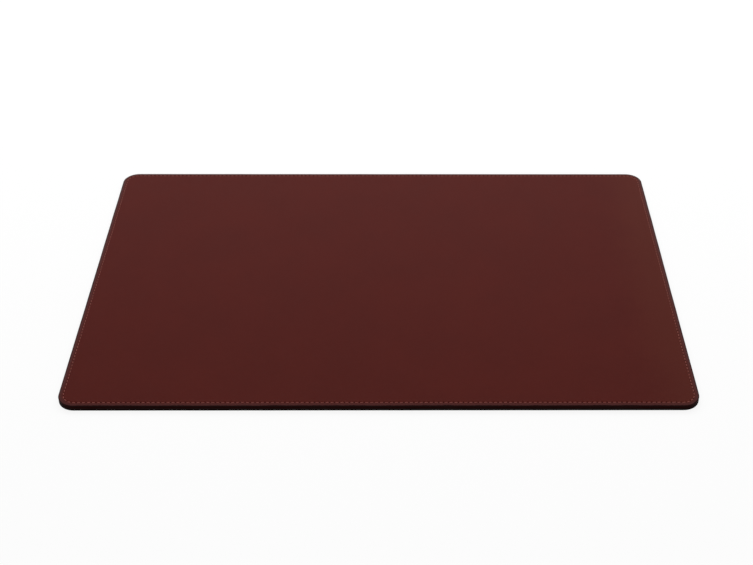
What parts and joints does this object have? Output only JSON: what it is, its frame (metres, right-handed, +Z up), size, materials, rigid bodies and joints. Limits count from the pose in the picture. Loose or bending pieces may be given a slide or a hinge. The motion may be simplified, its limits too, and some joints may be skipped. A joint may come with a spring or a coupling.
{
  "type": "desk pad",
  "caption": "Flat rectangular leather desk pad with rounded corners: a writing surface glued to a stiff board and a soft backing, with one stitched seam round its edge.",
  "frame": {"origin": "on the desk, under the middle of the pad", "axes": "+X along the front edge to the right, +Y towards the back edge, +Z up, out of the writing surface"},
  "size_m": [0.5, 0.337, 0.005],
  "materials": {
    "face_leather": "satin, fine even grain, dark oxblood",
    "bonded_board": "matt fibrous cut edge, dyed near black",
    "suede_backing": "matt black suede nap",
    "needle_thread": "bonded sewing thread, brick red",
    "bobbin_thread": "bonded sewing thread, black"
  },
  "bodies": {
    "root": {"top_leather": "face_leather", "core_board": "bonded_board", "backing": "suede_backing", "needle_thread": "needle_thread", "bobbin_thread": "bobbin_thread"}
  },
  "joints": []
}
